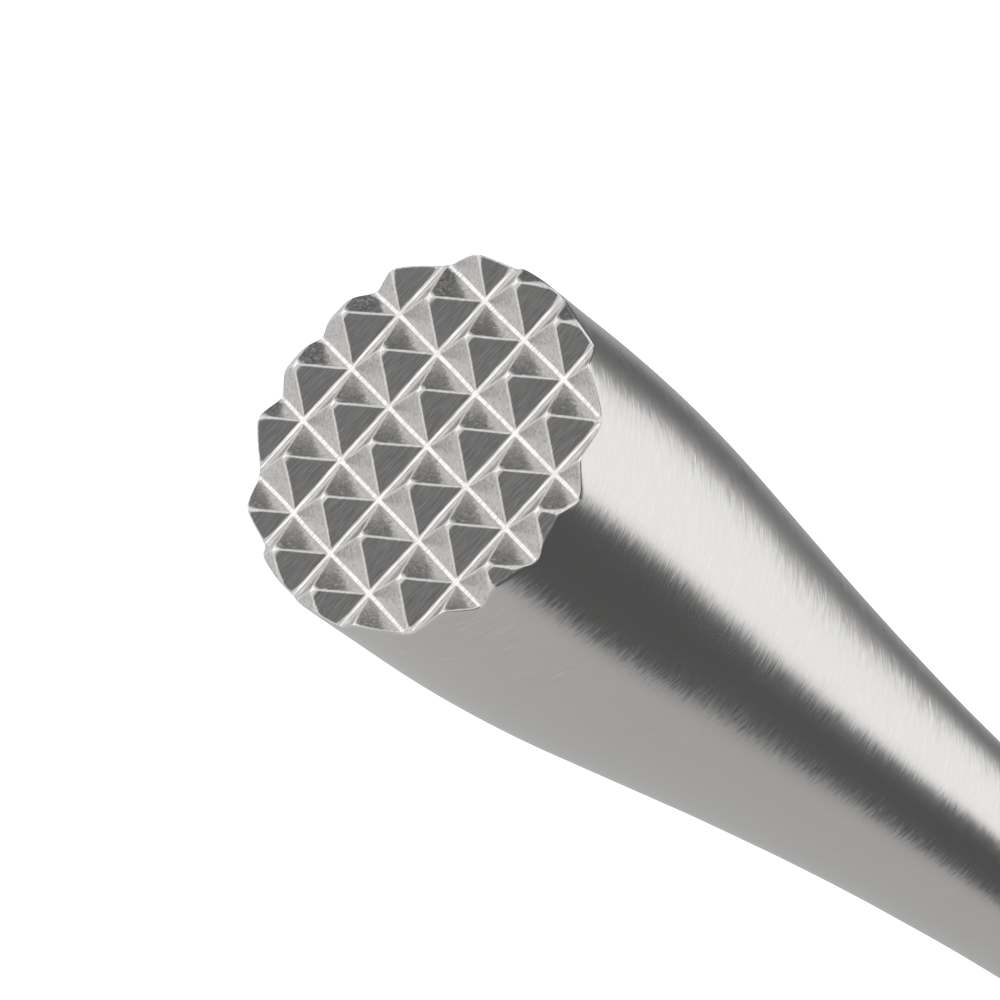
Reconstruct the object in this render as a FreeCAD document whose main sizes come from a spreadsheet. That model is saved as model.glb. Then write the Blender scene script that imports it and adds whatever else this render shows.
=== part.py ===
import FreeCAD, Part
import math
import os
import Sketcher

# A bar muddler in brushed stainless steel, standing on the flat of its butt with the teeth up.
# It is hollow: a cast toothed head, a flared shell and a grip shell that meet at the waist, and
# a turned butt cap. Each joint is a spigot in a sized seat, closed by a weld that is ground flush.
# Millimetres, +Z along the axis towards the teeth, origin at the centre of the butt flat.

# Driving dimensions: alias, value, what it measures.
DIMENSIONS = (
    ("total_length", 225.0, "butt flat to tooth tips"),
    ("head_radius", 14.0, "outside of the head and of the shell's mouth"),
    ("tooth_height", 1.85, "groove floor to tooth tip"),
    ("tooth_pitch", 5.0, "groove to groove, both ways"),
    ("tip_width", 0.45, "flat on each tooth tip"),
    ("long_floor_width", 0.30, "floor of the grooves that run along X"),
    ("cross_floor_width", 0.20, "floor of the grooves that run along Y"),
    ("groove_lines", 7, "grooves cut each way, the outer two only nick the rim"),
    ("head_skirt", 6.2, "groove floor down to the head joint"),
    ("head_web", 5.0, "solid metal under the groove floor"),
    ("head_recess_radius", 9.5, "cored recess inside the head"),
    ("shell_wall", 1.2, "sheet thickness of both shells"),
    ("flare_start", 7.2, "groove floor down to where the shell starts to narrow"),
    ("flare_radius", 195.0, "convex arc under the head"),
    ("flare_angle", 6.55, "slope of the straight part, in degrees"),
    ("neck_radius", 690.0, "concave arc down to the waist"),
    ("waist_radius", 6.55, "outside of the waist"),
    ("grip_radius", 11.0, "outside of the grip at its widest"),
    ("grip_height", 22.0, "height of the widest place, where the cap joins"),
    ("cap_radius", 200.0, "arc of the cap's side"),
    ("cap_edge_radius", 3.4, "rounding between the cap's side and its flat"),
    ("cap_floor", 4.5, "thickness of the cap's floor"),
    ("cap_bore_radius", 8.0, "inside of the cap"),
    ("seat_length", 6.0, "depth of each sized seat in a shell"),
    ("mouth_seat_radius", 12.8, "sized seat in the flared shell's mouth"),
    ("grip_seat_radius", 9.65, "sized seat in the grip shell's mouth"),
    ("spigot_length", 5.5, "length of each spigot"),
    ("spigot_clearance", 0.03, "radial gap round a spigot or the sleeve"),
    ("sleeve_seat_radius", 5.45, "reamed bore of both shells at the waist"),
    ("sleeve_length", 20.0, "aligning sleeve, half in each shell"),
    ("sleeve_wall", 1.0, "wall of the aligning sleeve"),
    ("weld_depth", 0.8, "depth of each weld groove"),
    ("weld_half_width", 0.55, "half the width of each weld at the surface"),
    ("vent_radius", 1.25, "purge hole in the cap's floor and the pin that closes it"),
    ("pin_chamfer", 0.3, "lead-in on the inner end of the pin"),
)


class Size:
    """A number together with the spreadsheet formula that it comes from."""

    def __init__(self, value, formula=None):
        self.value = float(value)
        self.formula = formula or repr(float(value))

    def combine(self, other, value, sign):
        return Size(value, f"({self.formula} {sign} {other.formula})")

    def __add__(self, other):
        other = as_size(other)
        return self.combine(other, self.value + other.value, "+")

    def __sub__(self, other):
        other = as_size(other)
        return self.combine(other, self.value - other.value, "-")

    def __mul__(self, other):
        other = as_size(other)
        return self.combine(other, self.value * other.value, "*")

    def __truediv__(self, other):
        other = as_size(other)
        return self.combine(other, self.value / other.value, "/")


def as_size(number):
    return number if isinstance(number, Size) else Size(number)


def root(size):
    return Size(math.sqrt(size.value), f"sqrt({size.formula})")


def sine(degrees):
    return Size(math.sin(math.radians(degrees.value)), f"sin({degrees.formula} * 1 deg)")


def cosine(degrees):
    return Size(math.cos(math.radians(degrees.value)), f"cos({degrees.formula} * 1 deg)")


def fill_sheet(doc):
    """Write the dimensions to the spreadsheet and return them as Sizes by alias."""
    sheet = doc.addObject("Spreadsheet::Sheet", "dims")
    sizes = {}
    for row, (alias, value, meaning) in enumerate(DIMENSIONS, start=1):
        sheet.set(f"A{row}", alias)
        sheet.set(f"B{row}", str(value))
        sheet.setAlias(f"B{row}", alias)
        sheet.set(f"C{row}", meaning)
        sizes[alias] = Size(value, f"dims.{alias}")
    doc.recompute()
    return sizes


def new_body(doc, label):
    body = doc.addObject("PartDesign::Body", label)
    body.Label = label
    body.Placement = FreeCAD.Placement()
    return body


def origin_feature(body, role):
    return next(feature for feature in body.Origin.OriginFeatures if feature.Role == role)


def new_sketch(body, name, plane):
    sketch = body.newObject("Sketcher::SketchObject", name)
    sketch.AttachmentSupport = [(origin_feature(body, plane), "")]
    sketch.MapMode = "FlatFace"
    return sketch


def bind(sketch, kind, places, size):
    """Add one dimension to a sketch and tie it to the size's formula."""
    index = sketch.addConstraint(Sketcher.Constraint(kind, *places, size.value))
    sketch.setExpression(f"Constraints[{index}]", size.formula)


def bind_point(sketch, edge, end, across, up):
    """Place one end of an edge, with every distance kept positive."""
    for kind, size in (("DistanceX", across), ("DistanceY", up)):
        if abs(size.value) < 1e-9:
            on_axis = -2 if kind == "DistanceX" else -1
            sketch.addConstraint(Sketcher.Constraint("PointOnObject", edge, end, on_axis))
        elif size.value < 0:
            bind(sketch, kind, (edge, end, -1, 1), Size(-size.value, f"(-1 * {size.formula})"))
        else:
            bind(sketch, kind, (-1, 1, edge, end), size)


def draw_outline(sketch, corners, arcs=None):
    """Draw a closed outline through (across, up) corners.

    arcs maps a corner's number to (centre, radius) where the edge that leaves it is an arc.
    """
    points = [FreeCAD.Vector(across.value, up.value, 0) for across, up in corners]
    for number, start in enumerate(points):
        end = points[(number + 1) % len(points)]
        if arcs and number in arcs:
            centre, radius = arcs[number]
            add_arc(sketch, start, end, centre, radius)
        else:
            sketch.addGeometry(Part.LineSegment(start, end))
    for number, (across, up) in enumerate(corners):
        leaving, arriving = number, (number - 1) % len(corners)
        sketch.addConstraint(
            Sketcher.Constraint(
                "Coincident", arriving, arc_end(sketch, arriving, points[number]),
                leaving, arc_end(sketch, leaving, points[number]),
            )
        )
        bind_point(sketch, leaving, arc_end(sketch, leaving, points[number]), across, up)


def add_arc(sketch, start, end, centre, radius):
    """Add the short arc from start to end about the centre, and tie its radius."""
    middle = FreeCAD.Vector(centre[0].value, centre[1].value, 0)
    angles = [math.atan2(point.y - middle.y, point.x - middle.x) for point in (start, end)]
    if (angles[1] - angles[0]) % (2 * math.pi) > math.pi:
        angles.reverse()
    circle = Part.Circle(middle, FreeCAD.Vector(0, 0, 1), radius.value)
    edge = sketch.addGeometry(Part.ArcOfCircle(circle, *angles))
    bind(sketch, "Radius", (edge,), radius)


def arc_end(sketch, edge, point):
    """1 or 2, whichever end of the edge is at the point: an arc may be stored reversed."""
    to_start = sketch.getPoint(edge, 1).distanceToPoint(point)
    to_end = sketch.getPoint(edge, 2).distanceToPoint(point)
    return 1 if to_start <= to_end else 2


def revolve(body, name, corners, arcs=None):
    """Turn a half section, given as radius and height, about the Z axis."""
    sketch = new_sketch(body, f"{name}_section", "XZ_Plane")
    draw_outline(sketch, corners, arcs)
    turned = body.newObject("PartDesign::Revolution", f"{name}_turned")
    turned.Profile = sketch
    turned.ReferenceAxis = (sketch, ["V_Axis"])
    turned.Angle = 360
    sketch.Visibility = False
    return turned


def levels(d):
    """Heights and radii that several pieces share."""
    zero = Size(0)
    valley = d["total_length"] - d["tooth_height"]
    flare_top = valley - d["flare_start"]
    slope_sine = sine(d["flare_angle"])
    slope_cosine = cosine(d["flare_angle"])
    fall_away = Size(1) - slope_cosine
    slope_top_radius = d["head_radius"] - d["flare_radius"] * fall_away
    slope_foot_radius = d["waist_radius"] + d["neck_radius"] * fall_away
    slope_top = flare_top - d["flare_radius"] * slope_sine
    slope_drop = (slope_top_radius - slope_foot_radius) * slope_cosine / slope_sine
    slope_foot = slope_top - slope_drop
    neck_foot = slope_foot - d["neck_radius"] * slope_sine
    return {
        "zero": zero,
        "valley": valley,
        "head_joint": valley - d["head_skirt"],
        "flare_top": flare_top,
        "slope_sine": slope_sine,
        "slope_cosine": slope_cosine,
        "slope_top": (slope_top_radius, slope_top),
        "slope_foot": (slope_foot_radius, slope_foot),
        "neck_foot": neck_foot,
        "waist": neck_foot - d["weld_half_width"],
    }


def toothed_head(doc, d, at):
    """Cast head: a disc with pyramid teeth, a cored recess and a spigot."""
    body = new_body(doc, "toothed_head")
    spigot_radius = d["mouth_seat_radius"] - d["spigot_clearance"]
    spigot_end = at["head_joint"] - d["spigot_length"]
    recess_top = at["valley"] - d["head_web"]
    revolve(body, "head", [
        (at["zero"], d["total_length"]),
        (d["head_radius"], d["total_length"]),
        (d["head_radius"], at["head_joint"] + d["weld_half_width"]),
        (d["head_radius"] - d["weld_depth"], at["head_joint"]),
        (spigot_radius, at["head_joint"]),
        (spigot_radius, spigot_end),
        (d["head_recess_radius"], spigot_end),
        (d["head_recess_radius"], recess_top),
        (at["zero"], recess_top),
    ])
    cut_grooves(doc, body, "cross", "XZ_Plane", "X_Axis", d["cross_floor_width"], d, at)
    cut_grooves(doc, body, "long", "YZ_Plane", "Y_Axis", d["long_floor_width"], d, at)
    return body


def cut_grooves(doc, body, name, plane, along, floor_width, d, at):
    """Cut parallel V grooves through the head's face, one pitch apart along one axis."""
    doc.recompute()
    before = body.Shape.Volume
    first = d["tooth_pitch"] * (Size(1) - d["groove_lines"]) / 2
    half_floor = floor_width / 2
    half_top = (d["tooth_pitch"] - d["tip_width"]) / 2
    # The groove's sides run on past the tips by as much again, so that the cut is clean.
    half_mouth = half_top * 2 - half_floor
    mouth = d["total_length"] + d["tooth_height"]
    sketch = new_sketch(body, f"{name}_groove_section", plane)
    draw_outline(sketch, [
        (first - half_floor, at["valley"]),
        (first + half_floor, at["valley"]),
        (first + half_mouth, mouth),
        (first - half_mouth, mouth),
    ])
    groove = body.newObject("PartDesign::Pocket", f"{name}_groove")
    groove.Profile = sketch
    groove.Midplane = True
    groove.setExpression("Length", (d["head_radius"] * 4).formula)
    sketch.Visibility = False
    doc.recompute()
    rows = body.newObject("PartDesign::LinearPattern", f"{name}_groove_rows")
    rows.Originals = [groove]
    rows.Direction = (origin_feature(body, along), [""])
    rows.setExpression("Length", (d["tooth_pitch"] * (d["groove_lines"] - 1)).formula)
    rows.setExpression("Occurrences", d["groove_lines"].formula)
    body.Tip = rows
    doc.recompute()
    if body.Shape.Volume > 0.98 * before:
        raise RuntimeError(f"the {name} grooves cut nothing")


def flared_shell(doc, d, at):
    """Swaged tube from the head down to the waist, as thick as its sheet all along."""
    body = new_body(doc, "flared_shell")
    wall_across = d["shell_wall"] * at["slope_cosine"]
    wall_up = d["shell_wall"] * at["slope_sine"]
    flare_centre = (d["head_radius"] - d["flare_radius"], at["flare_top"])
    neck_centre = (d["waist_radius"] + d["neck_radius"], at["neck_foot"])
    inner_flare = d["flare_radius"] - d["shell_wall"]
    inner_neck = d["neck_radius"] + d["shell_wall"]
    seat_end = at["head_joint"] - d["seat_length"]
    seat_drop = at["flare_top"] - seat_end
    seat_step = flare_centre[0] + root(inner_flare * inner_flare - seat_drop * seat_drop)
    reamed_gap = neck_centre[0] - d["sleeve_seat_radius"]
    reamed_top = at["neck_foot"] + root(inner_neck * inner_neck - reamed_gap * reamed_gap)
    corners = [
        (d["head_radius"], at["head_joint"] - d["weld_half_width"]),
        (d["head_radius"], at["flare_top"]),
        at["slope_top"],
        at["slope_foot"],
        (d["waist_radius"], at["neck_foot"]),
        (d["waist_radius"] - d["weld_depth"], at["waist"]),
        (d["sleeve_seat_radius"], at["waist"]),
        (d["sleeve_seat_radius"], reamed_top),
        (at["slope_foot"][0] - wall_across, at["slope_foot"][1] + wall_up),
        (at["slope_top"][0] - wall_across, at["slope_top"][1] + wall_up),
        (seat_step, seat_end),
        (d["mouth_seat_radius"], seat_end),
        (d["mouth_seat_radius"], at["head_joint"]),
        (d["head_radius"] - d["weld_depth"], at["head_joint"]),
    ]
    revolve(body, "flare", corners, {
        1: (flare_centre, d["flare_radius"]),
        3: (neck_centre, d["neck_radius"]),
        7: (neck_centre, inner_neck),
        9: (flare_centre, inner_flare),
    })
    return body


def grip_shell(doc, d, at):
    """Tube that swells in an S curve of two equal arcs from the waist to the cap."""
    body = new_body(doc, "grip_shell")
    top = at["waist"] - d["weld_half_width"]
    foot = d["grip_height"] + d["weld_half_width"]
    rise = top - foot
    swell = d["grip_radius"] - d["waist_radius"]
    span_squared = rise * rise + swell * swell
    arc_radius = span_squared / (swell * 4)
    waist_centre = (d["waist_radius"] + arc_radius, top)
    grip_centre = (d["grip_radius"] - arc_radius, foot)
    middle = ((d["waist_radius"] + d["grip_radius"]) / 2, (top + foot) / 2)
    # The wall is measured square to the surface, which leans by twice the chord's slope.
    wall_across = d["shell_wall"] * (rise * rise - swell * swell) / span_squared
    wall_up = d["shell_wall"] * rise * swell * 2 / span_squared
    inner_waist = arc_radius + d["shell_wall"]
    inner_grip = arc_radius - d["shell_wall"]
    reamed_gap = waist_centre[0] - d["sleeve_seat_radius"]
    reamed_end = top - root(inner_waist * inner_waist - reamed_gap * reamed_gap)
    seat_end = d["grip_height"] + d["seat_length"]
    seat_rise = seat_end - foot
    seat_step = grip_centre[0] + root(inner_grip * inner_grip - seat_rise * seat_rise)
    corners = [
        (d["waist_radius"] - d["weld_depth"], at["waist"]),
        (d["waist_radius"], top),
        middle,
        (d["grip_radius"], foot),
        (d["grip_radius"] - d["weld_depth"], d["grip_height"]),
        (d["grip_seat_radius"], d["grip_height"]),
        (d["grip_seat_radius"], seat_end),
        (seat_step, seat_end),
        (middle[0] - wall_across, middle[1] - wall_up),
        (d["sleeve_seat_radius"], reamed_end),
        (d["sleeve_seat_radius"], at["waist"]),
    ]
    revolve(body, "grip", corners, {
        1: (waist_centre, arc_radius),
        2: (grip_centre, arc_radius),
        7: (grip_centre, inner_grip),
        8: (waist_centre, inner_waist),
    })
    return body


def waist_sleeve(doc, d, at):
    """Short tube inside the waist that lines up the two shells and backs their weld."""
    body = new_body(doc, "waist_sleeve")
    outer = d["sleeve_seat_radius"] - d["spigot_clearance"]
    inner = outer - d["sleeve_wall"]
    top = at["waist"] + d["sleeve_length"] / 2
    foot = at["waist"] - d["sleeve_length"] / 2
    revolve(body, "sleeve", [(inner, foot), (outer, foot), (outer, top), (inner, top)])
    return body


def butt_cap(doc, d, at):
    """Turned end cap: rounded side, flat foot, bored inside, with a spigot and a vent hole."""
    body = new_body(doc, "butt_cap")
    side_top = d["grip_height"] - d["weld_half_width"]
    side_centre = (d["grip_radius"] - d["cap_radius"], side_top)
    reach = d["cap_radius"] - d["cap_edge_radius"]
    edge_drop = side_top - d["cap_edge_radius"]
    edge_across = root(reach * reach - edge_drop * edge_drop)
    flat_radius = side_centre[0] + edge_across
    edge_centre = (flat_radius, d["cap_edge_radius"])
    edge_top = (
        side_centre[0] + d["cap_radius"] * edge_across / reach,
        side_top - d["cap_radius"] * edge_drop / reach,
    )
    spigot_radius = d["grip_seat_radius"] - d["spigot_clearance"]
    spigot_top = d["grip_height"] + d["spigot_length"]
    corners = [
        (d["vent_radius"], at["zero"]),
        (flat_radius, at["zero"]),
        edge_top,
        (d["grip_radius"], side_top),
        (d["grip_radius"] - d["weld_depth"], d["grip_height"]),
        (spigot_radius, d["grip_height"]),
        (spigot_radius, spigot_top),
        (d["cap_bore_radius"], spigot_top),
        (d["cap_bore_radius"], d["cap_floor"]),
        (d["vent_radius"], d["cap_floor"]),
    ]
    revolve(body, "cap", corners, {
        1: (edge_centre, d["cap_edge_radius"]),
        2: (side_centre, d["cap_radius"]),
    })
    return body


def weld_ring(doc, d, label, radius, height):
    """Weld metal that fills the V groove of a joint, ground flush with the surface."""
    body = new_body(doc, label)
    revolve(body, label, [
        (radius - d["weld_depth"], height),
        (radius, height - d["weld_half_width"]),
        (radius, height + d["weld_half_width"]),
    ])
    return body


def vent_pin(doc, d, at):
    """Pin pressed into the cap's purge hole, flush with the flat."""
    body = new_body(doc, "vent_pin")
    sketch = new_sketch(body, "pin_section", "XY_Plane")
    circle = Part.Circle(FreeCAD.Vector(), FreeCAD.Vector(0, 0, 1), d["vent_radius"].value)
    edge = sketch.addGeometry(circle)
    sketch.addConstraint(Sketcher.Constraint("Coincident", edge, 3, -1, 1))
    bind(sketch, "Radius", (edge,), d["vent_radius"])
    pin = body.newObject("PartDesign::Pad", "pin_length")
    pin.Profile = sketch
    pin.setExpression("Length", d["cap_floor"].formula)
    sketch.Visibility = False
    doc.recompute()
    rims = [
        f"Edge{number}"
        for number, rim in enumerate(pin.Shape.Edges, start=1)
        if rim.BoundBox.ZMin > d["cap_floor"].value - 1e-6
    ]
    lead_in = body.newObject("PartDesign::Chamfer", "pin_lead_in")
    lead_in.Base = (pin, rims)
    lead_in.setExpression("Size", d["pin_chamfer"].formula)
    return body


def check_document(doc, bodies):
    """Stop if anything failed to recompute or a piece isn't one valid closed solid."""
    for item in doc.Objects:
        if "Invalid" in item.State or "Error" in item.State:
            raise RuntimeError(f"{item.Name} did not recompute: {item.State}")
    for body in bodies:
        shape = body.Shape
        if shape.isNull() or not shape.isValid() or len(shape.Solids) != 1:
            raise RuntimeError(f"{body.Label} is not one valid solid")


def main():
    doc = FreeCAD.newDocument("muddler")
    d = fill_sheet(doc)
    at = levels(d)
    bodies = [
        toothed_head(doc, d, at),
        flared_shell(doc, d, at),
        grip_shell(doc, d, at),
        waist_sleeve(doc, d, at),
        butt_cap(doc, d, at),
        vent_pin(doc, d, at),
        weld_ring(doc, d, "head_weld", d["head_radius"], at["head_joint"]),
        weld_ring(doc, d, "waist_weld", d["waist_radius"], at["waist"]),
        weld_ring(doc, d, "cap_weld", d["grip_radius"], d["grip_height"]),
    ]
    doc.recompute()
    check_document(doc, bodies)
    os.makedirs("parts", exist_ok=True)
    for body in bodies:
        body.Shape.exportStep(os.path.join("parts", f"{body.Label}.step"))
        box = body.Shape.BoundBox
        print(
            f"{body.Label:14s} {body.Shape.Volume:9.1f} mm3, radius {box.XMax:6.3f}, "
            f"height {box.ZMin:8.3f} to {box.ZMax:8.3f}"
        )


main()
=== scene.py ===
import math

import bpy
import numpy as np
from mathutils import Matrix, Vector
from mathutils.geometry import delaunay_2d_cdt


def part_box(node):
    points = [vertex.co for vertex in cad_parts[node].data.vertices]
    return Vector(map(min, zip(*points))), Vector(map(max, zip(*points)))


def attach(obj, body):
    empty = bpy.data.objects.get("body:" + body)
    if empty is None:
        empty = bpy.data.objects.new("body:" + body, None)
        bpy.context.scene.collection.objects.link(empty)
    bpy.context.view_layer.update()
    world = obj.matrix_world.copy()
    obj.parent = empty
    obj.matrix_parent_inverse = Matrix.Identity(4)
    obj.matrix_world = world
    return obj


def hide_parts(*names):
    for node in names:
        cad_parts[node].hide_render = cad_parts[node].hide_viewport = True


# A hollow, welded bar muddler in brushed stainless steel, standing on its butt with the teeth up.
# Metres, in the frame of the CAD model: +Z along the axis, origin at the centre of the butt flat.

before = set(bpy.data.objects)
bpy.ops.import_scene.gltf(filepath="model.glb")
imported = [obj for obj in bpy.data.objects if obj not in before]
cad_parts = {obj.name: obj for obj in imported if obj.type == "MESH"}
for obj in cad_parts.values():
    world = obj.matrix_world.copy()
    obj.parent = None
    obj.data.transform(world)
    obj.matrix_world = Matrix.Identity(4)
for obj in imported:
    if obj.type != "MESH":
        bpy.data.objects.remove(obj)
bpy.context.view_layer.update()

MM = 0.001

# Profile of the body. Heights come from the frame's own boxes; these are its radii and arcs.
HEAD_RADIUS = 14.0 * MM
FLARE_RADIUS = 195.0 * MM
FLARE_ANGLE = math.radians(6.55)
NECK_RADIUS = 690.0 * MM
WAIST_RADIUS = 6.55 * MM
GRIP_RADIUS = 11.0 * MM
CAP_SIDE_RADIUS = 200.0 * MM
CAP_EDGE_RADIUS = 3.4 * MM
SHELL_WALL = 1.2 * MM
WELD_DEPTH = 0.8 * MM
WELD_HALF_WIDTH = 0.55 * MM
FLARE_START = 7.2 * MM

# Teeth: a square grid of pyramids left between two sets of V grooves.
TOOTH_PITCH = 5.0 * MM
TOOTH_HEIGHT = 1.85 * MM
TIP_WIDTH = 0.43 * MM
LONG_FLOOR = 0.29 * MM
CROSS_FLOOR = 0.29 * MM
RIDGE_BLEND = 0.10 * MM
FLOOR_BLEND = 0.07 * MM
TIP_BLEND = 0.25 * MM
RIM_ROUNDING = 0.18 * MM
RIM_REACH = 1.3 * MM
GROOVE_WANDER = 0.05 * MM
COARSE_GRAIN = 0.006 * MM
FINE_GRAIN = 0.004 * MM

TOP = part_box("toothed_head")[1].z
VALLEY = TOP - TOOTH_HEIGHT
HEAD_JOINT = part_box("head_weld")[0].z + WELD_HALF_WIDTH
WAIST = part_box("waist_weld")[0].z + WELD_HALF_WIDTH
GRIP_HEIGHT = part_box("cap_weld")[0].z + WELD_HALF_WIDTH


# ---------------------------------------------------------------- mesh helpers

def make_object(name, vertices, faces):
    mesh = bpy.data.meshes.new(name)
    mesh.from_pydata([tuple(v) for v in vertices], [], faces)
    mesh.validate()
    mesh.polygons.foreach_set("use_smooth", [True] * len(mesh.polygons))
    mesh.update()
    piece = bpy.data.objects.new(name, mesh)
    bpy.context.scene.collection.objects.link(piece)
    return piece


def split_sharp_edges(piece, degrees):
    """Keep edges sharper than the angle crisp, with smooth shading everywhere else."""
    piece.data.set_sharp_from_angle(angle=math.radians(degrees))


def arc_points(centre, radius, start, end, count):
    """Points from start to end angle, in radians, both ends included."""
    angles = np.linspace(start, end, count)
    return [(centre[0] + radius * math.cos(a), centre[1] + radius * math.sin(a)) for a in angles]


def line_points(start, end, count):
    """Points from start up to, and not including, the end."""
    return [
        (start[0] + (end[0] - start[0]) * i / count, start[1] + (end[1] - start[1]) * i / count)
        for i in range(count)
    ]


def lathe(name, outline, segments, waviness=None):
    """Turn a closed (radius, height) outline about Z, with poles where the radius is zero."""
    vertices, rings = [], []
    for radius, height in outline:
        if radius < 1e-9:
            rings.append([len(vertices)] * segments)
            vertices.append((0, 0, height))
            continue
        rings.append(list(range(len(vertices), len(vertices) + segments)))
        for step in range(segments):
            angle = 2 * math.pi * step / segments
            local = radius + (waviness(angle, height) if waviness else 0)
            vertices.append((local * math.cos(angle), local * math.sin(angle), height))
    faces = []
    for number, ring in enumerate(rings):
        after = rings[(number + 1) % len(rings)]
        for step in range(segments):
            following = (step + 1) % segments
            corners = [ring[step], after[step], after[following], ring[following]]
            face = list(dict.fromkeys(corners))
            if len(face) > 2:
                faces.append(face)
    return make_object(name, vertices, faces)


# ---------------------------------------------------------------- body profile

def body_waviness(angle, height):
    """The slight unevenness that swaging and hand brushing leave, a few microns either way."""
    along = height / MM
    return MM * (
        0.006 * math.sin(0.31 * along + 2.0 * angle)
        + 0.005 * math.sin(0.47 * along - 3.0 * angle + 1.3)
        + 0.004 * math.sin(0.19 * along + 5.0 * angle + 2.1)
    )


def flared_shell():
    top = HEAD_JOINT - WELD_HALF_WIDTH
    flare_top = VALLEY - FLARE_START
    neck_foot = WAIST + WELD_HALF_WIDTH
    flare_centre = (HEAD_RADIUS - FLARE_RADIUS, flare_top)
    neck_centre = (WAIST_RADIUS + NECK_RADIUS, neck_foot)
    outside = line_points((HEAD_RADIUS, top), (HEAD_RADIUS, flare_top), 3)
    outside += arc_points(flare_centre, FLARE_RADIUS, 0, -FLARE_ANGLE, 30)
    outside += arc_points(neck_centre, NECK_RADIUS, math.pi - FLARE_ANGLE, math.pi, 90)
    inner_flare = FLARE_RADIUS - SHELL_WALL
    inner_neck = NECK_RADIUS + SHELL_WALL
    inside = arc_points(neck_centre, inner_neck, math.pi, math.pi - FLARE_ANGLE, 24)
    inside += arc_points(flare_centre, inner_flare, -FLARE_ANGLE, 0, 10)
    root = HEAD_RADIUS - WELD_DEPTH
    foot = [(WAIST_RADIUS - WELD_DEPTH, WAIST), (WAIST_RADIUS - SHELL_WALL, WAIST)]
    mouth = [(HEAD_RADIUS - SHELL_WALL, HEAD_JOINT), (root, HEAD_JOINT)]
    piece = lathe("flared_shell_skin", outside + foot + inside + mouth, 288, body_waviness)
    return piece


def grip_shell():
    top = WAIST - WELD_HALF_WIDTH
    foot = GRIP_HEIGHT + WELD_HALF_WIDTH
    rise, swell = top - foot, GRIP_RADIUS - WAIST_RADIUS
    radius = (rise ** 2 + swell ** 2) / (4 * swell)
    lean = 2 * math.atan2(swell, rise)
    waist_centre = (WAIST_RADIUS + radius, top)
    grip_centre = (GRIP_RADIUS - radius, foot)
    outside = arc_points(waist_centre, radius, math.pi, math.pi + lean, 40)[:-1]
    outside += arc_points(grip_centre, radius, lean, 0, 40)
    inside = arc_points(grip_centre, radius - SHELL_WALL, 0, lean, 14)[:-1]
    inside += arc_points(waist_centre, radius + SHELL_WALL, math.pi + lean, math.pi, 14)
    mouth = [(GRIP_RADIUS - WELD_DEPTH, GRIP_HEIGHT), (GRIP_RADIUS - SHELL_WALL, GRIP_HEIGHT)]
    neck = [(WAIST_RADIUS - SHELL_WALL, WAIST), (WAIST_RADIUS - WELD_DEPTH, WAIST)]
    return lathe("grip_shell_skin", outside + mouth + inside + neck, 288, body_waviness)


def butt_cap():
    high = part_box("butt_cap")[1]
    pin_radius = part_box("vent_pin")[1].x
    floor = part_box("vent_pin")[1].z
    bore = 8.0 * MM
    spigot = 9.62 * MM
    side_top = GRIP_HEIGHT - WELD_HALF_WIDTH
    side_centre = (GRIP_RADIUS - CAP_SIDE_RADIUS, side_top)
    reach = CAP_SIDE_RADIUS - CAP_EDGE_RADIUS
    drop = side_top - CAP_EDGE_RADIUS
    turn = math.asin(drop / reach)
    edge_centre = (side_centre[0] + reach * math.cos(turn), CAP_EDGE_RADIUS)
    outside = arc_points(side_centre, CAP_SIDE_RADIUS, 0, -turn, 24)[:-1]
    outside += arc_points(edge_centre, CAP_EDGE_RADIUS, -turn, -math.pi / 2, 24)
    outside += line_points((edge_centre[0] - 0.2 * MM, 0), (pin_radius + 0.12 * MM, 0), 6)
    hole = [(pin_radius + 0.12 * MM, 0), (pin_radius, 0.08 * MM), (pin_radius, floor)]
    inside = [
        (bore, floor), (bore, high.z), (spigot, high.z), (spigot, GRIP_HEIGHT),
        (GRIP_RADIUS - WELD_DEPTH, GRIP_HEIGHT),
    ]
    return lathe("butt_cap_skin", outside + hole + inside, 288, body_waviness)


def weld_ring(name, radius, height):
    """A ring of weld metal, ground flush with the shells."""
    face = [
        (radius, height + WELD_HALF_WIDTH),
        (radius, height + 0.5 * WELD_HALF_WIDTH),
        (radius, height),
        (radius, height - 0.5 * WELD_HALF_WIDTH),
        (radius, height - WELD_HALF_WIDTH),
    ]
    return lathe(name, face + [(radius - WELD_DEPTH, height)], 288, body_waviness)


def vent_pin():
    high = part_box("vent_pin")[1]
    radius = high.x
    crown = 0.05 * MM
    outline = [(0, 0.0), (radius - crown, 0.0), (radius, crown), (radius, high.z - 0.3 * MM)]
    outline += [(radius - 0.3 * MM, high.z), (0, high.z)]
    return lathe("vent_pin_skin", outline[::-1], 96)


# ---------------------------------------------------------------- toothed head

def smooth_noise(x, y, size, seed):
    """Seeded value noise on a plane, from -1 to 1, with features about one size across."""
    cells = 128
    table = np.random.default_rng(seed).uniform(-1, 1, (cells, cells))
    u, v = x / size + cells / 2, y / size + cells / 2
    i, j = np.floor(u).astype(int), np.floor(v).astype(int)
    s, t = u - i, v - j
    s, t = s * s * (3 - 2 * s), t * t * (3 - 2 * t)
    i, j = i % cells, j % cells
    after_i, after_j = (i + 1) % cells, (j + 1) % cells
    low = table[i, j] * (1 - s) + table[after_i, j] * s
    high = table[i, after_j] * (1 - s) + table[after_i, after_j] * s
    return low * (1 - t) + high * t


def soft_min(a, b, blend):
    """The smaller of two heights, with the ridge between them rounded over."""
    near = np.maximum(blend - np.abs(a - b), 0) / blend
    return np.minimum(a, b) - near * near * blend / 4


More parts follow.
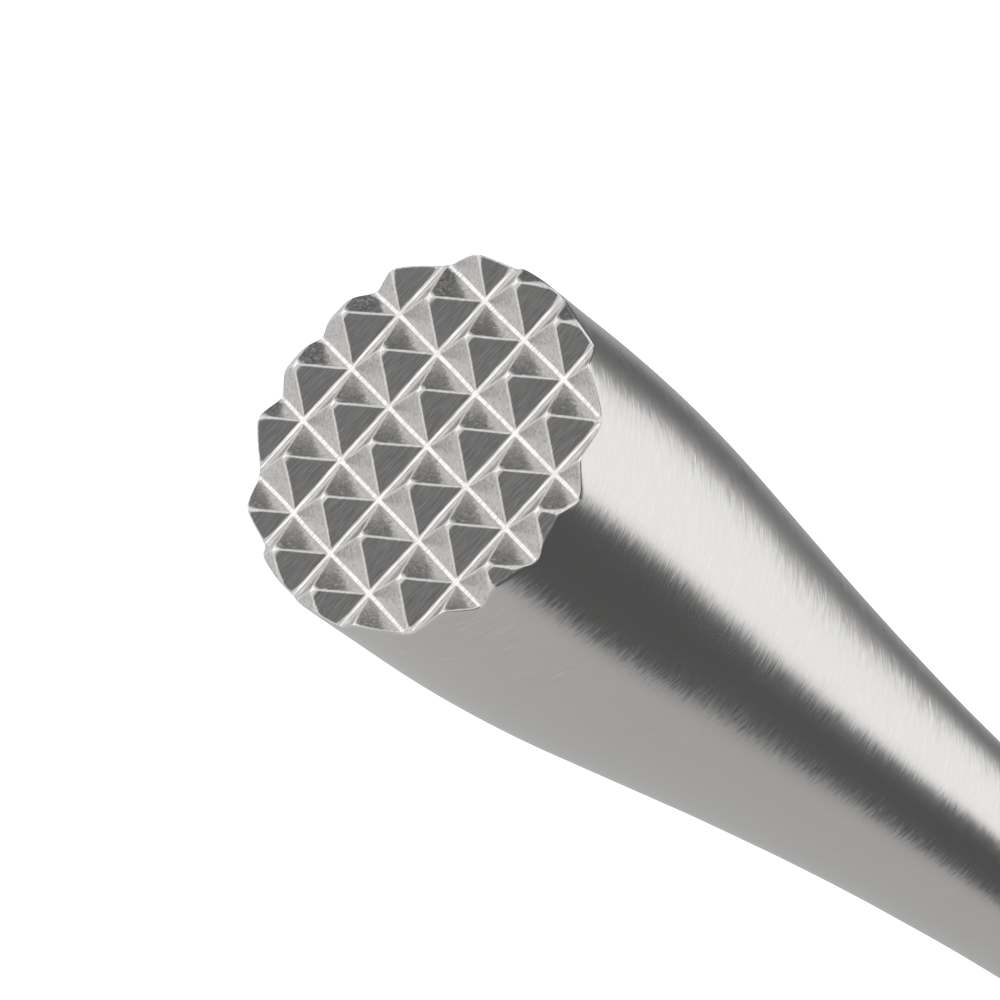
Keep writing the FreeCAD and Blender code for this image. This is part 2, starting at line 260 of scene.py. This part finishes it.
def groove_side(distance, floor_width, blend):
    """Height above the floor at a distance from a groove's middle line."""
    run = (TOOTH_PITCH - TIP_WIDTH) / 2 - floor_width / 2
    slope = TOOTH_HEIGHT / run
    wall = (distance - floor_width / 2) * slope
    return -soft_min(-wall, np.zeros_like(wall), blend)


def tooth_height(x, y):
    """Height of the head's working face over the groove floors, and how worn each point is, with
    a painted highlight.

    The grooves wander a little. Near the rim the edges are rounder. The ridges and the edges of
    the tips are worn rougher, and painted paler as a painted highlight.
    """
    wx = x + GROOVE_WANDER * smooth_noise(x, y, 3.1 * MM, 11)
    wy = y + GROOVE_WANDER * smooth_noise(x, y, 2.7 * MM, 12)
    to_cross = np.abs(wx - TOOTH_PITCH * np.round(wx / TOOTH_PITCH))
    to_long = np.abs(wy - TOOTH_PITCH * np.round(wy / TOOTH_PITCH))
    rim = np.clip((np.hypot(x, y) - HEAD_RADIUS) / RIM_REACH + 1, 0, 1) ** 2
    foot = FLOOR_BLEND + 0.35 * MM * rim
    cross_side = groove_side(to_cross, CROSS_FLOOR, foot)
    long_side = groove_side(to_long, LONG_FLOOR, foot)
    sides = soft_min(cross_side, long_side, RIDGE_BLEND + 0.5 * MM * rim)
    tip = TOOTH_HEIGHT * 0.995 + 0.03 * MM * smooth_noise(x, y, 4.0 * MM, 13)
    height = soft_min(sides, tip, TIP_BLEND)
    # Wear mask on the ridges and tip edges: real wear in roughness, and a painted highlight that
    # makes them paler.
    on_ridge = np.clip(1.5 - np.abs(cross_side - long_side) / RIDGE_BLEND, 0, 1)
    below_tip = np.clip((tip - sides) / (0.3 * MM), 0, 1)
    wear_and_highlight = on_ridge * below_tip * np.clip(height / (0.15 * MM), 0, 1)
    round_tip = np.clip(1.3 - np.abs(tip - sides - 0.06 * MM) / (0.08 * MM), 0, 1)
    wear_and_highlight = np.maximum(wear_and_highlight, 0.4 * round_tip)
    grain = COARSE_GRAIN * smooth_noise(x, y, 0.45 * MM, 14)
    grain += FINE_GRAIN * smooth_noise(x, y, 0.22 * MM, 15)
    return np.clip(height + grain, 0, TOOTH_HEIGHT), wear_and_highlight


def toothed_head():
    """Working face on a square grid, rings round its rim, skirt, and the hollow underside."""
    across = 58
    inner = HEAD_RADIUS - RIM_ROUNDING - 0.11 * MM
    reach = 3 * across
    even = np.arange(-reach, reach + 1) / across
    ticks = TOOTH_PITCH * (even - 0.50 * np.sin(4 * math.pi * even) / (4 * math.pi))
    gx, gy = np.meshgrid(ticks, ticks, indexing="ij")
    inside = gx ** 2 + gy ** 2 < inner ** 2
    number = -np.ones(inside.shape, int)
    number[inside] = np.arange(inside.sum())
    heights = VALLEY + tooth_height(gx[inside], gy[inside])[0]
    vertices = list(zip(gx[inside], gy[inside], heights))
    faces = grid_faces(number, gx, gy)
    segments = 1200
    turns = np.arange(segments) * 2 * math.pi / segments
    first_ring = ring_at(vertices, HEAD_RADIUS - RIM_ROUNDING, turns, 0)
    faces += stitch_rim(vertices, faces, first_ring)
    rings = [first_ring]
    for step in range(1, 7):
        angle = math.pi / 2 * step / 6
        radius = HEAD_RADIUS - RIM_ROUNDING * (1 - math.sin(angle))
        rings.append(ring_at(vertices, radius, turns, RIM_ROUNDING * (1 - math.cos(angle))))
    lip = [vertices[v][2] for v in rings[-1]]
    skirt_foot = HEAD_JOINT + WELD_HALF_WIDTH
    for share in (0.06, 0.25, 0.55, 1.0):
        rings.append(list(range(len(vertices), len(vertices) + segments)))
        for turn, z in zip(turns, lip):
            level = z + (skirt_foot - z) * share
            wave = body_waviness(turn, level) * share
            x, y = math.cos(turn), math.sin(turn)
            vertices.append(((HEAD_RADIUS + wave) * x, (HEAD_RADIUS + wave) * y, level))
    for ring, after in zip(rings, rings[1:]):
        for step in range(segments):
            following = (step + 1) % segments
            faces.append([ring[step], after[step], after[following], ring[following]])
    close_underside(vertices, faces, rings[-1])
    head = make_object("toothed_head_casting", vertices, faces)
    places = np.array([(v[0], v[1]) for v in vertices])
    radii = np.hypot(places[:, 0], places[:, 1])
    on_face = radii < HEAD_RADIUS - 0.99 * RIM_ROUNDING
    # The rim gets a fixed share of the same wear and painted highlight.
    wear_and_highlight = np.where(on_face, tooth_height(places[:, 0], places[:, 1])[1], 0.4)
    edge_wear_highlight = head.data.attributes.new("worn_edge_highlight", "FLOAT", "POINT")
    edge_wear_highlight.data.foreach_set("value", wear_and_highlight)
    return head


def ring_at(vertices, radius, turns, drop):
    """Add a ring of points on the working face, lowered by the drop."""
    x, y = radius * np.cos(turns), radius * np.sin(turns)
    z = VALLEY + tooth_height(x, y)[0] - drop
    ring = list(range(len(vertices), len(vertices) + len(turns)))
    vertices.extend(zip(x, y, z))
    return ring


def grid_faces(number, gx, gy):
    """Quads of the square grid, each split along the way that its tooth's ridge runs."""
    faces = []
    a, b = number[:-1, :-1], number[1:, :-1]
    c, d = number[1:, 1:], number[:-1, 1:]
    whole = (a >= 0) & (b >= 0) & (c >= 0) & (d >= 0)
    mid_x = (gx[:-1, :-1] + gx[1:, 1:]) / 2
    mid_y = (gy[:-1, :-1] + gy[1:, 1:]) / 2
    off_x = mid_x / TOOTH_PITCH - np.floor(mid_x / TOOTH_PITCH) - 0.5
    off_y = mid_y / TOOTH_PITCH - np.floor(mid_y / TOOTH_PITCH) - 0.5
    rising = off_x * off_y > 0
    for i, j in zip(*np.nonzero(whole)):
        corners = [int(n) for n in (a[i, j], b[i, j], c[i, j], d[i, j])]
        if rising[i, j]:
            faces.append([corners[0], corners[1], corners[2]])
            faces.append([corners[0], corners[2], corners[3]])
        else:
            faces.append([corners[0], corners[1], corners[3]])
            faces.append([corners[1], corners[2], corners[3]])
    return faces


def stitch_rim(vertices, faces, ring):
    """Triangles between the grid's stepped border and the first round ring."""
    uses = {}
    for face in faces:
        for start, end in zip(face, face[1:] + face[:1]):
            uses[(start, end)] = True
    border = [edge for edge in uses if (edge[1], edge[0]) not in uses]
    names = sorted({v for edge in border for v in edge}) + ring
    place = {name: index for index, name in enumerate(names)}
    points = [Vector(vertices[name][:2]) for name in names]
    edges = [(place[start], place[end]) for start, end in border]
    edges += [(place[s], place[e]) for s, e in zip(ring, ring[1:] + ring[:1])]
    result = delaunay_2d_cdt(points, edges, [], 0, 1e-9)
    origin = [source[0] for source in result[3]]
    ring_names = set(ring)
    band = []
    for triangle in result[2]:
        face = [names[origin[v]] for v in triangle]
        if any(v in ring_names for v in face) or fills_a_step(face, uses):
            band.append(face)
    return band


def fills_a_step(face, uses):
    """Whether a triangle of border points lies outside the grid, against one of its edges."""
    edges = list(zip(face, face[1:] + face[:1]))
    outside = all(edge not in uses for edge in edges)
    return outside and any((end, start) in uses for start, end in edges)


def close_underside(vertices, faces, ring):
    """Weld chamfer, spigot and cored recess below the skirt, on a quarter of the segments."""
    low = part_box("toothed_head")[0]
    spigot, recess, web = 12.77 * MM, 9.5 * MM, VALLEY - 5.0 * MM
    levels = [
        (HEAD_RADIUS - WELD_DEPTH, HEAD_JOINT), (spigot, HEAD_JOINT), (spigot, low.z),
        (recess, low.z), (recess, web), (0.5 * recess, web),
    ]
    share = 4
    segments = len(ring) // share
    below = None
    for radius, height in levels:
        new = list(range(len(vertices), len(vertices) + segments))
        for step in range(segments):
            angle = 2 * math.pi * step / segments
            vertices.append((radius * math.cos(angle), radius * math.sin(angle), height))
        for step in range(segments):
            following = (step + 1) % segments
            if below is None:
                fan = [ring[(step * share + k) % len(ring)] for k in range(share + 1)]
                faces.append([fan[0], new[step], new[following]] + fan[:0:-1])
            else:
                faces.append([below[step], new[step], new[following], below[following]])
        below = new
    pole = len(vertices)
    vertices.append((0, 0, levels[-1][1]))
    for step in range(segments):
        faces.append([below[step], pole, below[(step + 1) % segments]])


# ---------------------------------------------------------------- materials

class Nodes:
    """Short names for building one node tree."""

    def __init__(self, tree):
        self.tree = tree

    def add(self, kind, inputs=None, **settings):
        node = self.tree.nodes.new(kind)
        for name, value in settings.items():
            setattr(node, name, value)
        for name, value in (inputs or {}).items():
            self.feed(node.inputs[name], value)
        return node

    def feed(self, socket, value):
        if isinstance(value, bpy.types.NodeSocket):
            self.tree.links.new(value, socket)
        else:
            socket.default_value = value

    def math(self, operation, a, b=0.0, c=0.0, clamp=False):
        node = self.add("ShaderNodeMath", {0: a, 1: b, 2: c}, operation=operation)
        node.use_clamp = clamp
        return node.outputs[0]

    def vector(self, operation, a, b=(0, 0, 0), scale=None):
        node = self.add("ShaderNodeVectorMath", {0: a, 1: b}, operation=operation)
        if scale is not None:
            self.feed(node.inputs["Scale"], scale)
        return node.outputs["Value" if operation in ("DOT_PRODUCT", "LENGTH") else "Vector"]

    def noise(self, vector, detail=2.0, roughness=0.5, output="Fac"):
        inputs = {"Vector": vector, "Scale": 1.0, "Detail": detail, "Roughness": roughness}
        return self.add("ShaderNodeTexNoise", inputs).outputs[output]

    def remap(self, value, low, high, to_low=0.0, to_high=1.0, kind="LINEAR"):
        inputs = {
            "Value": value, "From Min": low, "From Max": high,
            "To Min": to_low, "To Max": to_high,
        }
        node = self.add("ShaderNodeMapRange", inputs, interpolation_type=kind)
        return node.outputs["Result"]

    def mix(self, share, a, b):
        node = self.add("ShaderNodeMix", data_type="RGBA")
        self.feed(node.inputs[0], share)
        self.feed(node.inputs[6], a)
        self.feed(node.inputs[7], b)
        return node.outputs[2]


def new_material(name):
    material = bpy.data.materials.new(name)
    material.use_nodes = True
    material.node_tree.nodes.clear()
    return material, Nodes(material.node_tree)


def stretched(nodes, place, sizes):
    """The object's coordinates divided by a feature size along each axis, in metres."""
    return nodes.vector("MULTIPLY", place, tuple(1.0 / size for size in sizes))


# Share of red, green and blue light that bare stainless steel reflects.
STEEL = (0.62, 0.61, 0.60)


def brushed_steel(name, roughness=0.20):
    """Satin steel brushed round the axis: fine streaks a millimetre or two long."""
    material, n = new_material(name)
    place = n.add("ShaderNodeTexCoord").outputs["Object"]
    across, depth, height = n.add("ShaderNodeSeparateXYZ", {0: place}).outputs
    uphill = n.math("ADD", height, n.math("MULTIPLY", across, 0.12))
    downhill = n.math("SUBTRACT", height, n.math("MULTIPLY", depth, 0.10))
    leaning = n.add("ShaderNodeCombineXYZ", {0: across, 1: depth, 2: uphill}).outputs[0]
    other = n.add("ShaderNodeCombineXYZ", {0: across, 1: depth, 2: downhill}).outputs[0]
    fine = n.noise(stretched(n, place, (0.8 * MM, 0.8 * MM, 0.08 * MM)), 2.0)
    second = n.noise(stretched(n, leaning, (1.3 * MM, 1.3 * MM, 0.11 * MM)), 1.0)
    third = n.noise(stretched(n, other, (1.9 * MM, 1.9 * MM, 0.15 * MM)), 1.0)
    streak = n.math("ADD", n.math("MULTIPLY", fine, 0.4), n.math("MULTIPLY", second, 0.3))
    streak = n.math("ADD", streak, n.math("MULTIPLY", third, 0.3))
    scratch = n.noise(stretched(n, leaning, (2.2 * MM, 2.2 * MM, 0.10 * MM)), 0.0)
    scratch = n.remap(scratch, 0.72, 0.82)
    tone = n.remap(streak, 0.35, 0.65, 0.975, 1.025)
    tone = n.math("ADD", tone, n.math("MULTIPLY", scratch, 0.08))
    colour = n.vector("SCALE", STEEL, scale=tone)
    rough = n.remap(streak, 0.35, 0.65, roughness + 0.02, roughness - 0.02)
    tangent = n.add("ShaderNodeTangent", direction_type="RADIAL", axis="Z").outputs["Tangent"]
    normal = n.add("ShaderNodeNewGeometry").outputs["Normal"]
    sideways = n.math("MULTIPLY", n.math("SUBTRACT", fine, 0.5), 0.12)
    along = n.math("MULTIPLY", n.math("SUBTRACT", streak, 0.5), 0.45)
    along = n.math("ADD", along, n.math("MULTIPLY", scratch, 0.08))
    bent = n.vector("ADD", normal, n.vector("SCALE", tangent, scale=sideways))
    axis = n.add("ShaderNodeCombineXYZ", {2: along}).outputs[0]
    bent = n.vector("NORMALIZE", n.vector("ADD", bent, axis))
    shader = n.add("ShaderNodeBsdfPrincipled", {
        "Base Color": colour, "Metallic": 1.0, "Roughness": rough, "Normal": bent,
        "Anisotropic": 0.9, "Anisotropic Rotation": 0.25, "Tangent": tangent,
    })
    n.add("ShaderNodeOutputMaterial", {"Surface": shader.outputs[0]})
    return material


def cast_head_steel(name):
    """Cast teeth: brushed along the long grooves, fine-grained and pitted on the cross faces."""
    material, n = new_material(name)
    place = n.add("ShaderNodeTexCoord").outputs["Object"]
    normal = n.add("ShaderNodeNewGeometry").outputs["Normal"]
    facing = n.add("ShaderNodeSeparateXYZ", {0: normal}).outputs
    cross_face = n.remap(n.math("ABSOLUTE", facing[0]), 0.35, 0.55)
    long_face = n.math("SUBTRACT", 1.0, cross_face)
    streak = n.noise(stretched(n, place, (1.3 * MM, 0.075 * MM, 0.075 * MM)), 2.0)
    grain = n.noise(stretched(n, place, (0.30 * MM,) * 3), 3.0, 0.6)
    relief = n.noise(stretched(n, place, (0.22 * MM,) * 3), 2.0, 0.6, "Color")
    pit = n.remap(n.noise(stretched(n, place, (0.16 * MM,) * 3), 1.0), 0.64, 0.72)
    brushed = n.remap(streak, 0.3, 0.7, 0.76, 1.28)
    mottled = n.remap(grain, 0.3, 0.7, 0.84, 1.10)
    mottled = n.math("MULTIPLY", mottled, n.math("SUBTRACT", 1.0, n.math("MULTIPLY", pit, 0.5)))
    shade = n.math("ADD", n.math("MULTIPLY", brushed, long_face),
                   n.math("MULTIPLY", mottled, cross_face))
    edge_wear_highlight = n.add("ShaderNodeAttribute", attribute_name="worn_edge_highlight").outputs["Fac"]
    rough = n.remap(cross_face, 0.0, 1.0, 0.14, 0.24)
    rough = n.math("ADD", rough, n.math("MULTIPLY", edge_wear_highlight, 0.32))
    # Painted highlight: worn ridges, tip edges and rim are painted paler; the added roughness
    # above is wear.
    shade = n.math("ADD", shade, n.math("MULTIPLY", edge_wear_highlight, 0.30))
    colour = n.vector("SCALE", STEEL, scale=shade)
    offset = n.add("ShaderNodeCombineXYZ", {
        1: n.math("MULTIPLY", n.math("SUBTRACT", streak, 0.5), 0.16),
    }).outputs[0]
    lumps = n.vector("SUBTRACT", relief, (0.5, 0.5, 0.5))
    lumps = n.vector("SCALE", lumps, scale=n.math("MULTIPLY", cross_face, 0.38))
    bent = n.vector("ADD", n.vector("ADD", normal, offset), lumps)
    shader = n.add("ShaderNodeBsdfPrincipled", {
        "Base Color": colour, "Metallic": 1.0, "Roughness": rough,
        "Normal": n.vector("NORMALIZE", bent),
    })
    n.add("ShaderNodeOutputMaterial", {"Surface": shader.outputs[0]})
    return material


# ---------------------------------------------------------------- studio

# Light levels are linear and neutral. The walls, floor side and ceiling of the studio are plain
# areas of light, and each card or softbox is a soft-edged patch over them.
WALL = 0.80
BELOW = 0.55
CEILING = 0.90

# Tall cards stand round the object: azimuth and half width in degrees, then light level.
TALL_CARDS = (
    (-15, 35, 1.30),
    (-85, 25, 0.12),
    (42, 14, 0.15),
)
CARD_EDGE = 12

# Round areas overhead: azimuth, elevation, inner and outer radius in degrees, then light level.
OVERHEAD = (
    (-95, 45, 20, 30, 0.25),
    (90, 45, 20, 35, 1.50),
)


def grey(level):
    return (level, level, level, 1.0)


def tall_card(n, x, y, azimuth, half_width):
    """1 within a card's width at any height, falling to 0 across its soft edge."""
    flat = n.vector("NORMALIZE", n.add("ShaderNodeCombineXYZ", {0: x, 1: y}).outputs[0])
    a = math.radians(azimuth)
    nearness = n.vector("DOT_PRODUCT", flat, (math.cos(a), math.sin(a), 0.0))
    low = math.cos(math.radians(half_width + CARD_EDGE))
    return n.remap(nearness, low, math.cos(math.radians(half_width)), kind="SMOOTHSTEP")


def patch(n, direction, azimuth, elevation, inner, outer):
    """1 within the inner angle of a direction, falling to 0 at the outer one, in degrees."""
    a, e = math.radians(azimuth), math.radians(elevation)
    middle = (math.cos(e) * math.cos(a), math.cos(e) * math.sin(a), math.sin(e))
    nearness = n.vector("DOT_PRODUCT", direction, middle)
    low, high = math.cos(math.radians(outer)), math.cos(math.radians(inner))
    return n.remap(nearness, low, high, kind="SMOOTHSTEP")


def make_studio_light():
    """A soft neutral studio: pale walls, a softbox behind and above, a few tall cards."""
    world = bpy.data.worlds.new("studio")
    bpy.context.scene.world = world
    world.use_nodes = True
    world.node_tree.nodes.clear()
    n = Nodes(world.node_tree)
    direction = n.vector("NORMALIZE", n.add("ShaderNodeTexCoord").outputs["Generated"])
    x, y, z = n.add("ShaderNodeSeparateXYZ", {0: direction}).outputs
    glow = n.mix(n.remap(z, -0.9, -0.2, kind="SMOOTHSTEP"), grey(BELOW), grey(WALL))
    for azimuth, half_width, level in TALL_CARDS:
        glow = n.mix(tall_card(n, x, y, azimuth, half_width), glow, grey(level))
    glow = n.mix(n.remap(z, 0.2, 0.5, kind="SMOOTHSTEP"), glow, grey(CEILING))
    for azimuth, elevation, inner, outer, level in OVERHEAD:
        glow = n.mix(patch(n, direction, azimuth, elevation, inner, outer), glow, grey(level))
    background = n.add("ShaderNodeBackground", {"Color": glow, "Strength": 1.0})
    n.add("ShaderNodeOutputWorld", {"Surface": background.outputs[0]})
    lamp = bpy.data.lights.new("ceiling_panel", "SUN")
    lamp.energy = 2.6
    lamp.angle = math.radians(120)
    ceiling = bpy.data.objects.new("ceiling_panel", lamp)
    ceiling.visible_glossy = False
    bpy.context.scene.collection.objects.link(ceiling)


def make_floor():
    """A pale floor that sweeps up into a wall all round, far away."""
    profile = [(0.0, 0.0), (3.0, 0.0)]
    profile += arc_points((3.0, 2.0), 2.0, -math.pi / 2, 0, 24) + [(5.0, 5.0)]
    segments = 96
    vertices, faces = [(0, 0, 0)], []
    for radius, height in profile[1:]:
        for step in range(segments):
            angle = 2 * math.pi * step / segments
            vertices.append((radius * math.cos(angle), radius * math.sin(angle), height))
    for ring in range(len(profile) - 1):
        for step in range(segments):
            following = (step + 1) % segments
            outer = 1 + ring * segments
            if ring == 0:
                faces.append([0, outer + step, outer + following])
            else:
                inner = outer - segments
                faces.append([inner + step, outer + step, outer + following, inner + following])
    floor = make_object("floor", vertices, faces)
    floor.visible_glossy = False
    material, n = new_material("pale_floor")
    place = n.add("ShaderNodeTexCoord").outputs["Object"]
    speckle = n.remap(n.noise(stretched(n, place, (0.4, 0.4, 0.4)), 2.0), 0.3, 0.7, 0.895, 0.905)
    colour = n.add("ShaderNodeCombineColor", {0: speckle, 1: speckle, 2: speckle}).outputs[0]
    shader = n.add("ShaderNodeBsdfPrincipled", {"Base Color": colour, "Roughness": 0.9})
    shader.inputs["Specular IOR Level"].default_value = 0.0
    n.add("ShaderNodeOutputMaterial", {"Surface": shader.outputs[0]})
    floor.data.materials.append(material)


def make_camera():
    """A close portrait lens that looks down on the teeth, rolled so that the body runs off."""
    target = Vector((0.6, -4.5, -4.3)) * MM + Vector((0, 0, VALLEY))
    azimuth, elevation, roll = math.radians(7.34), math.radians(50.6), math.radians(-53.5)
    distance = 449.0 * MM
    back = Vector((
        math.sin(azimuth) * math.cos(elevation),
        -math.cos(azimuth) * math.cos(elevation),
        math.sin(elevation),
    ))
    level = Vector((math.cos(azimuth), math.sin(azimuth), 0))
    upright = back.cross(level)
    turn = Matrix((level, upright, back)).transposed() @ Matrix.Rotation(roll, 3, "Z")
    data = bpy.data.cameras.new("camera")
    data.sensor_width = 36.0
    data.lens = 233.2
    data.clip_start = 0.01
    data.clip_end = 50.0
    camera = bpy.data.objects.new("camera", data)
    camera.matrix_world = Matrix.Translation(target + back * distance) @ turn.to_4x4()
    bpy.context.scene.collection.objects.link(camera)
    bpy.context.scene.camera = camera


# ---------------------------------------------------------------- assembly

def brush_skirt(head, material):
    """Give the head's round side the same brushed finish as the shell below it."""
    head.data.materials.append(material)
    count = len(head.data.polygons)
    centres = np.empty(count * 3)
    head.data.polygons.foreach_get("center", centres)
    centres = centres.reshape(count, 3)
    round_side = np.hypot(centres[:, 0], centres[:, 1]) > HEAD_RADIUS - 0.3 * RIM_ROUNDING
    head.data.polygons.foreach_set("material_index", round_side.astype(np.int32))
    head.data.update()


def finish_piece(piece, node, material, sharp=None):
    if sharp:
        split_sharp_edges(piece, sharp)
    piece.data.materials.clear()
    piece.data.materials.append(material)
    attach(piece, "root")
    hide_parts(node)


def main():
    shell_steel = brushed_steel("brushed_steel")
    head_steel = cast_head_steel("cast_steel")
    plain_steel = brushed_steel("drawn_steel", 0.35)
    head = toothed_head()
    finish_piece(head, "toothed_head", head_steel, 50)
    brush_skirt(head, shell_steel)
    finish_piece(flared_shell(), "flared_shell", shell_steel, 30)
    finish_piece(grip_shell(), "grip_shell", shell_steel, 30)
    finish_piece(butt_cap(), "butt_cap", shell_steel, 30)
    finish_piece(vent_pin(), "vent_pin", plain_steel, 30)
    for name, radius, height in (
        ("head_weld", HEAD_RADIUS, HEAD_JOINT),
        ("waist_weld", WAIST_RADIUS, WAIST),
        ("cap_weld", GRIP_RADIUS, GRIP_HEIGHT),
    ):
        ring = weld_ring(f"{name}_ring", radius, height)
        finish_piece(ring, name, shell_steel, 30)
    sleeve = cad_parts["waist_sleeve"]
    sleeve.data.materials.clear()
    sleeve.data.materials.append(plain_steel)
    make_floor()
    make_studio_light()
    make_camera()
    bpy.context.scene.view_settings.view_transform = "Standard"
    bpy.context.scene.view_settings.look = "None"


main()
